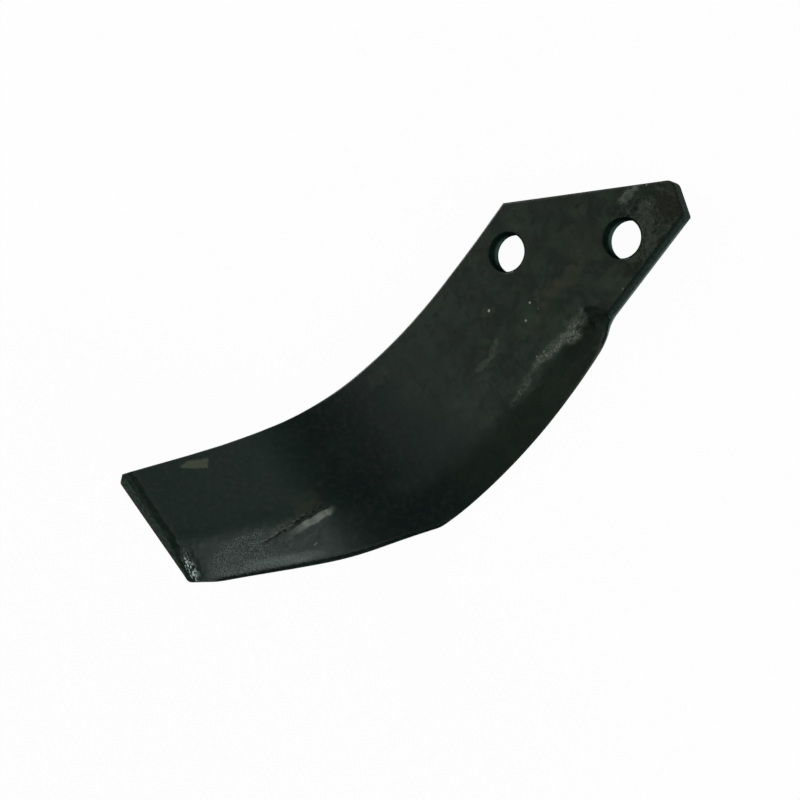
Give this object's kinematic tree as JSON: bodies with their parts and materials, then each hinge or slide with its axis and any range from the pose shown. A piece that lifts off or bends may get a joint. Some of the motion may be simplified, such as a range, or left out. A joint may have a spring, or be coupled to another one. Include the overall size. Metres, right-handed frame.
{
  "type": "rotary tiller blade",
  "caption": "Curved tiller blade forged from one flat bar, with a slanted bolt-on shank, a tip bent out to the side and a bevelled cutting edge along its outer curve.",
  "frame": {"origin": "midway between the two bolt holes, on the flat back face of the shank", "axes": "+X along the line of the bolt holes towards the trimmed corner, +Y towards the straight top edge of the shank, +Z out of the hollow side, the way the tip is bent"},
  "size_m": [0.2404, 0.1641, 0.0904],
  "materials": {
    "painted_steel": "semi-gloss black paint over forged steel"
  },
  "bodies": {
    "root": {"blade": "painted_steel"}
  },
  "joints": []
}
